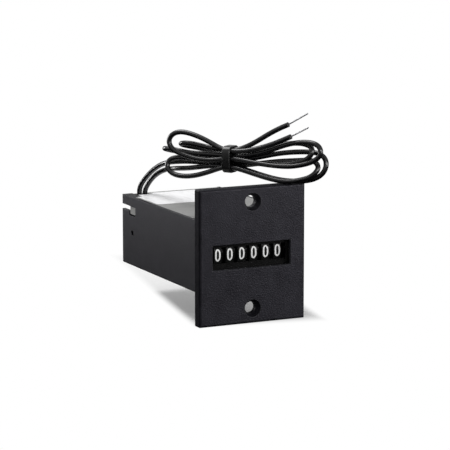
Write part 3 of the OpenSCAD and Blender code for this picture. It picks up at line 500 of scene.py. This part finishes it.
# Depth and height of the tie's loop along the middle of the strap, and the radius of its corners
TIE_LOOP = (6.9, 9.0, 1.9)
# Width and thickness of the strap, and the radius of its edges
TIE_STRAP = (3.2, 0.9, 0.3)
# Thickness and height of the tie's head, the radius of its edges, its length and its distance behind the tie's middle
TIE_HEAD = (1.8, 3.8, 0.5)
TIE_HEAD_L = 4.7
TIE_HEAD_AWAY = 4.35


def rounded_outline(width, height, radius, steps=5):
    """Points of a rounded rectangle, each with its outward angle."""
    points = []
    for k, (x, y) in enumerate(((1, 1), (-1, 1), (-1, -1), (1, -1))):
        for i in range(steps + 1):
            angle = math.radians(90 * k + 90 * i / steps)
            points.append((x * (width / 2 - radius) + radius * math.cos(angle),
                           y * (height / 2 - radius) + radius * math.sin(angle), angle))
    return points


def grid_faces(rows, columns, closed):
    """Faces between rings of points, the last ring joined to the first where the grid is closed."""
    return [(r * columns + c, r * columns + (c + 1) % columns,
             (r + 1) % rows * columns + (c + 1) % columns, (r + 1) % rows * columns + c)
            for r in range(rows if closed else rows - 1) for c in range(columns)]


def tie_point(away, height, along):
    """A point of the tie, from its middle: away from the viewer, up and along the hank."""
    return (TIE_AT - away * TOWARDS_VIEWER + along * ALONG_HANK + Vector((0, 0, height))) * MM


def make_tie(nylon):
    """The strap round the hank's waist, and its head on the far side."""
    loop, strap = rounded_outline(*TIE_LOOP), rounded_outline(*TIE_STRAP)
    verts = [tie_point(x + out * math.cos(angle), z + out * math.sin(angle), along)
             for x, z, angle in loop for along, out, _ in strap]
    faces = grid_faces(len(loop), len(strap), closed=True)
    first, block = len(verts), rounded_outline(*TIE_HEAD)
    for share, size in ((-1, 0.8), (-0.9, 1), (0.9, 1), (1, 0.8)):
        verts += [tie_point(TIE_HEAD_AWAY + size * x, size * z, share * TIE_HEAD_L / 2) for x, z, _ in block]
    faces += [tuple(first + i for i in face) for face in grid_faces(4, len(block), closed=False)]
    faces += [tuple(range(first + len(block) - 1, first - 1, -1)), tuple(range(len(verts) - len(block), len(verts)))]
    tie = mesh_piece("tie_strap", verts, faces, smooth=True)
    paint_piece(tie, nylon)
    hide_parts("cable_tie")
    return tie


def make_leads():
    """Both leads from end to end, with their stripped ends and the tie."""
    skin = lead_skin()
    cut = moulded("cut_pvc", 0.01, 0.03, 0.5, 0.0002, 0.00002)
    tinned = sheet_metal("tinned_strands", (0.42, 0.42, 0.44), 0.35)
    routes = [(RISE_1, HANK_1, END_1, BARE_END_1), (RISE_2, HANK_2, END_2, BARE_END_2)]
    for n, (rise, hank, end, bare) in enumerate(routes, 1):
        lead = swept(f"lead_{n}", [lead_route(rise, hank, end)], LEAD_D * MM)
        paint_piece(lead, skin)
        strands = stranded(f"strands_{n}", end[-1], bare)
        paint_piece(strands, tinned)
        face = cut_face(f"lead_cut_{n}", end[-2], end[-1])
        paint_piece(face, cut)
        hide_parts(f"conductor_{n}")
        if n == 1:
            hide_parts("lead_rise_1", "lead_end_1", "wire_hank")
            make_tie(moulded("tie_nylon", 0.006, 0.011, 0.28, 0.0005, 0.00001))
        else:
            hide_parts("lead_rise_2", "lead_end_2")
        route_length(lead)


# Figures

# Height and width of a figure, width of its strokes and thickness of the ink, in millimetres
FIGURE_H = 4.5
FIGURE_W = 2.15
STROKE = 0.58
INK = 0.015
# Longest straight step of a stroke round the wheel
FIGURE_STEP = 0.4


def arc(cx, cy, rx, ry, start, end, steps=14):
    """Points of an ellipse's arc, in shares of the figure's height, by angles in degrees."""
    return [(cx + rx * math.cos(math.radians(start + (end - start) * i / steps)),
             cy + ry * math.sin(math.radians(start + (end - start) * i / steps))) for i in range(steps + 1)]


def figure_strokes(digit):
    """Middle lines of one figure's strokes: x from -1 to 1 across and y from -1 to 1 up."""
    return {
        0: [arc(0, 0.32, 1, 0.68, 0, 180) + arc(0, -0.32, 1, 0.68, 180, 360) + [(1, 0.32)]],
        1: [[(-0.55, 0.62), (0.15, 1), (0.15, -1)]],
        2: [arc(0, 0.42, 1, 0.58, 160, -35) + [(-1, -1), (1, -1)]],
        3: [arc(-0.05, 0.48, 0.95, 0.52, 155, -85) + arc(-0.05, -0.48, 1.05, 0.52, 85, -155)],
        4: [[(0.45, -1), (0.45, 1), (-1, -0.35), (1, -0.35)]],
        5: [[(0.85, 1), (-0.75, 1), (-0.85, 0.1)] + arc(0, -0.36, 1, 0.64, 130, -150)],
        6: [arc(0, 0.3, 0.95, 0.7, 40, 180) + arc(0, -0.38, 1, 0.62, 180, -180)],
        7: [[(-0.95, 1), (1, 1), (-0.25, -1)]],
        8: [arc(0, 0.5, 0.85, 0.5, -90, 270) + arc(0, -0.48, 1, 0.52, 90, -270)],
        9: [arc(0, 0.38, 1, 0.62, 0, 360) + arc(0, -0.3, 0.95, 0.7, 0, -140)],
    }[digit]


def ribbon(line, width):
    """Pairs of points on both sides of a line, mitred at its corners."""
    line = [p for i, p in enumerate(line) if i == 0 or (p - line[i - 1]).length > 1e-4]
    pairs = []
    for i, p in enumerate(line):
        before = (p - line[i - 1]).normalized() if i else None
        after = (line[i + 1] - p).normalized() if i < len(line) - 1 else None
        along = ((before or after) + (after or before)).normalized()
        normal = Vector((-along.y, along.x))
        lean = abs(normal.dot(Vector((-(after or before).y, (after or before).x))))
        half = width / 2 / max(lean, 0.35)
        pairs.append((p + normal * half, p - normal * half))
    return pairs


def refined(line, step):
    """The same line with points no further apart than step, so that it can curve round a drum."""
    points = [line[0]]
    for a, b in zip(line, line[1:]):
        count = max(1, math.ceil((b - a).length / step))
        points += [a.lerp(b, i / count) for i in range(1, count + 1)]
    return points


def make_figures(k, ink):
    """The ten figures printed round one number wheel, 0 at the front."""
    low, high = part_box(f"number_wheel_{k}")
    joint = next(j for j in frame["joints"] if j["child"] == f"wheel_{k}")
    centre = Vector(joint["pos_m"])
    radius = (high[2] - low[2]) / 2 + INK * MM
    half_w = (FIGURE_W - STROKE) / 2 * MM
    half_h = (FIGURE_H - STROKE) / 2 * MM
    verts, faces = [], []
    for digit in range(10):
        for stroke in figure_strokes(digit):
            line = refined([Vector((x * half_w, y * half_h)) for x, y in stroke], FIGURE_STEP * MM)
            first = len(verts)
            for pair in ribbon(line, STROKE * MM):
                for point in pair:
                    angle = math.tau * digit / 10 + point.y / radius
                    verts.append((centre.x + point.x, centre.y - radius * math.cos(angle),
                                  centre.z + radius * math.sin(angle)))
            count = (len(verts) - first) // 2
            faces += [(first + 2 * i, first + 2 * i + 1, first + 2 * i + 3, first + 2 * i + 2)
                      for i in range(count - 1)]
    figures = mesh_piece(f"wheel_figures_{k}", verts, faces)
    paint_piece(figures, ink, body=f"wheel_{k}")


# Finishes of the CAD pieces

def finish_pieces():
    """Gives every CAD piece its material."""
    # The paler edges given to plate, housing and cover are partly wear and partly a painted highlight.
    # The plate's side faces and the housing's upward faces get a lower specular level, which paints shade on them.
    plate = moulded("plate_plastic", (0.004, 0.004, 0.0055), (0.012, 0.012, 0.015), 0.4, 0.0005, 0.0001,
                    edge=0.0002, specular=0.22, tint=COOL, wear_and_highlight=0.06, shaded_faces=("X", 0.03))
    shell = moulded("housing_plastic", (0.007, 0.007, 0.009), (0.011, 0.011, 0.0135), 0.38, 0.0003, 0.00002,
                    specular=0.32, tint=COOL, wear_and_highlight=0.02, shaded_faces=("Z", 0.04))
    cover = moulded("cover_plastic", (0.19, 0.19, 0.185), (0.23, 0.23, 0.225), 0.45, 0.0004, 0.00002, wear_and_highlight=0.32)
    rubber = moulded("relief_rubber", 0.008, 0.014, 0.55, 0.0004, 0.00003, specular=0.25)
    mask = moulded("mask_paint", 0.002, 0.004, 0.7, 0.0002, 0.00001, specular=0.1)
    wheel = moulded("wheel_plastic", 0.003, 0.006, 0.5, 0.0003, 0.00001, specular=0.15)
    natural = moulded("natural_acetal", (0.62, 0.59, 0.5), (0.72, 0.69, 0.6), 0.4, 0.0004, 0.00001)
    bobbin = moulded("bobbin_plastic", (0.55, 0.53, 0.46), (0.68, 0.65, 0.57), 0.5, 0.0003, 0.00001)
    zinc = sheet_metal("zinc_plate", (0.62, 0.62, 0.6), 0.38)
    ground = sheet_metal("ground_steel", (0.66, 0.66, 0.68), 0.25, (12, 1, 1))
    spring = sheet_metal("spring_steel", (0.4, 0.4, 0.42), 0.35)
    iron = sheet_metal("plated_iron", (0.52, 0.52, 0.52), 0.45)
    brass = sheet_metal("terminal_brass", (0.72, 0.56, 0.26), 0.3)
    paint(plate, "front_plate")
    paint(shell, "housing")
    paint(cover, "top_cover")
    paint(label_film(), "label")
    paint(clear_acrylic(), "window_lens")
    paint(mask, "digit_mask")
    paint(rubber, "strain_relief")
    paint(wheel, "wheel_spacer_left", "wheel_spacer_right", *[f"number_wheel_{k}" for k in range(1, WHEELS + 1)])
    paint(natural, "pinion_spacer_left", "pinion_spacer_right", "pallet_arm",
          *[f"transfer_pinion_{k}" for k in range(1, WHEELS)])
    paint(zinc, "chassis", "body_screws")
    paint(ground, "wheel_shaft", "pinion_shaft", "armature_pin")
    paint(spring, "shaft_clips", "return_spring")
    paint(iron, "armature", "yoke", "core")
    paint(bobbin, "bobbin")
    paint(wound_copper(), "winding")
    paint(brass, "coil_terminals")
    paint(lead_skin(), "inner_lead_1", "inner_lead_2")


# Studio

# Strength of the world's light, and how much the paper is lifted where it is seen
WORLD_LEVEL = 0.45
PAPER_LIFT = 0.18
# The part of the floor that keeps the shadow: middle, half its width and length, turn, and where its edge fades
SHADOW_AT = (0.0165, 0.066, 0)
SHADOW_HALF = (0.0255, 0.075, 1)
SHADOW_TURN = -11
SHADOW_FADE = (0.82, 1.02)
FLOOR_HALF = 1.2
# Gap that keeps the floor clear of the plate's lower edge
FLOOR_GAP = 0.00005
LAMPS_AIM = (0, 0.02, 0)


def seen_directly(tree):
    """1 for rays from the camera, also through glass, and 0 for rays that light a surface."""
    rays = tree.nodes.new("ShaderNodeLightPath")
    either = tree.nodes.new("ShaderNodeMath")
    either.operation = "MAXIMUM"
    tree.links.new(rays.outputs["Is Camera Ray"], either.inputs[0])
    tree.links.new(rays.outputs["Is Transmission Ray"], either.inputs[1])
    return either.outputs[0]


def white_paper():
    """Pale paper that keeps the shadow near the counter and fades to plain white round it."""
    s = Shader("white_paper")
    s.join(s.ramp(s.noise(0.002), [(NOISE_LOW, 0.56), (NOISE_HIGH, 0.58)]), s.surface.inputs["Base Color"])
    s.set(Roughness=0.9, Specular_IOR_Level=0.0)
    direct = seen_directly(s.tree)
    lift = s.add("ShaderNodeEmission")
    strength = s.add("ShaderNodeMath", operation="MULTIPLY")
    s.join(direct, strength.inputs[0])
    strength.inputs[1].default_value = PAPER_LIFT
    s.join(strength.outputs[0], lift.inputs["Strength"])
    lifted = s.add("ShaderNodeAddShader")
    s.join(s.surface.outputs["BSDF"], lifted.inputs[0])
    s.join(lift.outputs["Emission"], lifted.inputs[1])
    white = s.add("ShaderNodeEmission")
    s.join(direct, white.inputs["Strength"])
    footprint = s.add("ShaderNodeMapping", vector_type="TEXTURE")
    s.join(s.place, footprint.inputs["Vector"])
    footprint.inputs["Location"].default_value = SHADOW_AT
    footprint.inputs["Rotation"].default_value = (0, 0, math.radians(SHADOW_TURN))
    footprint.inputs["Scale"].default_value = SHADOW_HALF
    apart = s.add("ShaderNodeVectorMath", operation="ABSOLUTE")
    s.join(footprint.outputs["Vector"], apart.inputs[0])
    sides = s.add("ShaderNodeSeparateXYZ")
    s.join(apart.outputs["Vector"], sides.inputs["Vector"])
    reach = s.add("ShaderNodeMath", operation="SMOOTH_MAX")
    s.join(sides.outputs["X"], reach.inputs[0])
    s.join(sides.outputs["Y"], reach.inputs[1])
    reach.inputs[2].default_value = 0.1
    fade = s.add("ShaderNodeMapRange", interpolation_type="SMOOTHSTEP")
    s.join(reach.outputs["Value"], fade.inputs["Value"])
    fade.inputs["From Min"].default_value, fade.inputs["From Max"].default_value = SHADOW_FADE
    mix = s.add("ShaderNodeMixShader")
    s.join(fade.outputs["Result"], mix.inputs["Fac"])
    s.join(lifted.outputs["Shader"], mix.inputs[1])
    s.join(white.outputs["Emission"], mix.inputs[2])
    s.join(mix.outputs["Shader"], s.output.inputs["Surface"])
    return s.material


def make_floor():
    """The paper under the plate's lower edge."""
    half, level = FLOOR_HALF, cad_box[0][2] - FLOOR_GAP
    corners = [(-half, -half), (half, -half), (half, half), (-half, half)]
    floor = mesh_piece("floor", [(x, y, level) for x, y in corners], [(0, 1, 2, 3)])
    floor.data.materials.append(white_paper())


def area_light(name, place, size, power):
    """A soft box of this size in metres, turned to the counter."""
    data = bpy.data.lights.new(name, "AREA")
    data.shape = "RECTANGLE"
    data.size, data.size_y = size
    data.energy = power
    lamp = link(bpy.data.objects.new(name, data))
    lamp.location = place
    lamp.rotation_euler = (Vector(LAMPS_AIM) - Vector(place)).to_track_quat("-Z", "Y").to_euler()


def make_world(level):
    """White where it is seen, and an even soft light everywhere else."""
    world = bpy.data.worlds.new("studio")
    bpy.context.scene.world = world
    world.use_nodes = True
    tree = world.node_tree
    tree.nodes.clear()
    output = tree.nodes.new("ShaderNodeOutputWorld")
    lighting = tree.nodes.new("ShaderNodeBackground")
    lighting.inputs["Color"].default_value = (1, 1, 1, 1)
    lighting.inputs["Strength"].default_value = level
    white = tree.nodes.new("ShaderNodeBackground")
    white.inputs["Color"].default_value = (1, 1, 1, 1)
    mix = tree.nodes.new("ShaderNodeMixShader")
    tree.links.new(seen_directly(tree), mix.inputs["Fac"])
    tree.links.new(lighting.outputs["Background"], mix.inputs[1])
    tree.links.new(white.outputs["Background"], mix.inputs[2])
    tree.links.new(mix.outputs["Shader"], output.inputs["Surface"])


def make_studio():
    """Floor, world and lamps."""
    make_floor()
    make_world(WORLD_LEVEL)
    area_light("top_box", (-0.13, 0.2, 0.47), (0.3, 0.3), 1.9)
    area_light("front_box", (0.42, -0.52, 0.08), (0.3, 0.3), 2.6)
    area_light("fill_box", (-0.15, -0.75, 0.28), (0.12, 0.12), 1.8)
    area_light("rear_card", (-0.3, 0.45, 0.1), (0.15, 0.2), 1.2)
    area_light("rear_box", (0.25, 0.6, 0.22), (0.4, 0.12), 0.12)
    bpy.context.scene.view_settings.view_transform = "Standard"


def close_spring():
    """Gives the return spring its own copy of its mesh."""
    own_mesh(nodes["return_spring"])


make_camera()
make_leads()
ink = figure_ink()
for k in range(1, WHEELS + 1):
    make_figures(k, ink)
finish_pieces()
close_spring()
make_studio()
